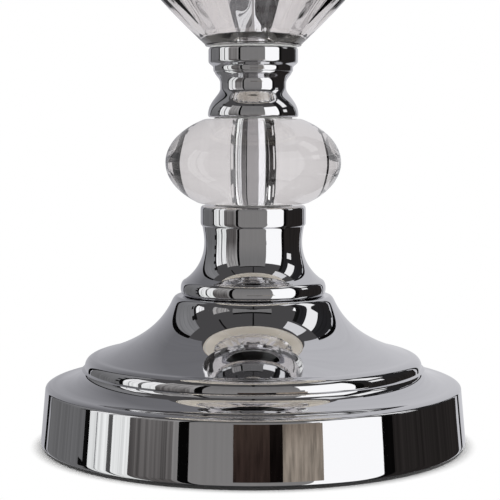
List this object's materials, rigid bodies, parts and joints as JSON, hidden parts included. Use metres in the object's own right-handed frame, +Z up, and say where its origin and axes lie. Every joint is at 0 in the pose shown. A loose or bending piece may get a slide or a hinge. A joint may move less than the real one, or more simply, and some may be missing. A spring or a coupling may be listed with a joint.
{
  "type": "table lamp",
  "caption": "Table lamp on a stepped round metal foot, with a glass ball and a fluted glass urn on a threaded rod, a switched screw lampholder, and a tapered fabric drum shade.",
  "frame": {"origin": "centre of the foot pad's underside, on the table", "axes": "+Z up along the lamp's rod, -Y the front, +X the side of the switch knob, +Y the back with the cord outlet"},
  "size_m": [0.2818, 0.2818, 0.4997],
  "materials": {
    "chrome": "mirror-polished chrome plate",
    "clear_glass": "clear, polished",
    "opal_glass": "opal white, satin",
    "black_felt": "dense black felt",
    "cast_iron": "as cast, black lacquer",
    "steel": "zinc-plated",
    "black_plastic": "fine satin moulded",
    "clear_plastic": "clear",
    "porcelain": "glazed",
    "brass": "bright stamped",
    "aluminium": "rolled thread, satin",
    "white_enamel": "white powder coat",
    "cream_fabric": "plain-woven linen laminate"
  },
  "bodies": {
    "root": {"foot_pad": "black_felt", "base_shell": "chrome", "cast_weight": "cast_iron", "cord_bushing": "black_plastic", "bottom_nut": "steel", "bottom_washer": "steel", "threaded_rod": "steel", "lower_neck": "chrome", "ball_washer_lower": "clear_plastic", "glass_ball": "clear_glass", "ball_sleeve": "chrome", "ball_washer_upper": "clear_plastic", "upper_neck": "chrome", "urn_washer_lower": "clear_plastic", "glass_urn": "clear_glass", "urn_sleeve": "chrome", "urn_washer_upper": "clear_plastic", "urn_cap": "chrome", "neck_spacer": "chrome", "top_nut": "steel", "holder_cup": "chrome", "holder_tube": "chrome", "switch_body": "black_plastic", "porcelain_core": "porcelain", "terminal_screw_front": "brass", "terminal_screw_back": "brass", "insulating_sleeve": "porcelain", "screw_shell": "brass", "centre_contact": "brass", "bulb_tip": "steel", "bulb_insulator": "black_plastic", "bulb_cap": "aluminium", "bulb_glass": "opal_glass", "shade_ring_lower": "black_plastic", "shade_ring_upper": "black_plastic"},
    "knob": {"switch_knob": "black_plastic", "switch_spindle": "brass"},
    "shade": {"shade_fitter": "white_enamel", "shade_arm_1": "white_enamel", "shade_arm_2": "white_enamel", "shade_arm_3": "white_enamel", "shade_hoop_lower": "white_enamel", "shade_hoop_upper": "white_enamel", "shade_skin": "cream_fabric", "shade_trim_lower": "cream_fabric", "shade_trim_upper": "cream_fabric"}
  },
  "joints": [
    {"name": "switch_knob_turn", "type": "hinge", "parent": "root", "child": "knob", "pos_m": [0, 0, 0.3176], "axis": [1, 0, 0], "continuous": true},
    {"name": "shade_turn", "type": "hinge", "parent": "root", "child": "shade", "pos_m": [0, 0, 0.3386], "axis": [0, 0, 1], "continuous": true}
  ]
}
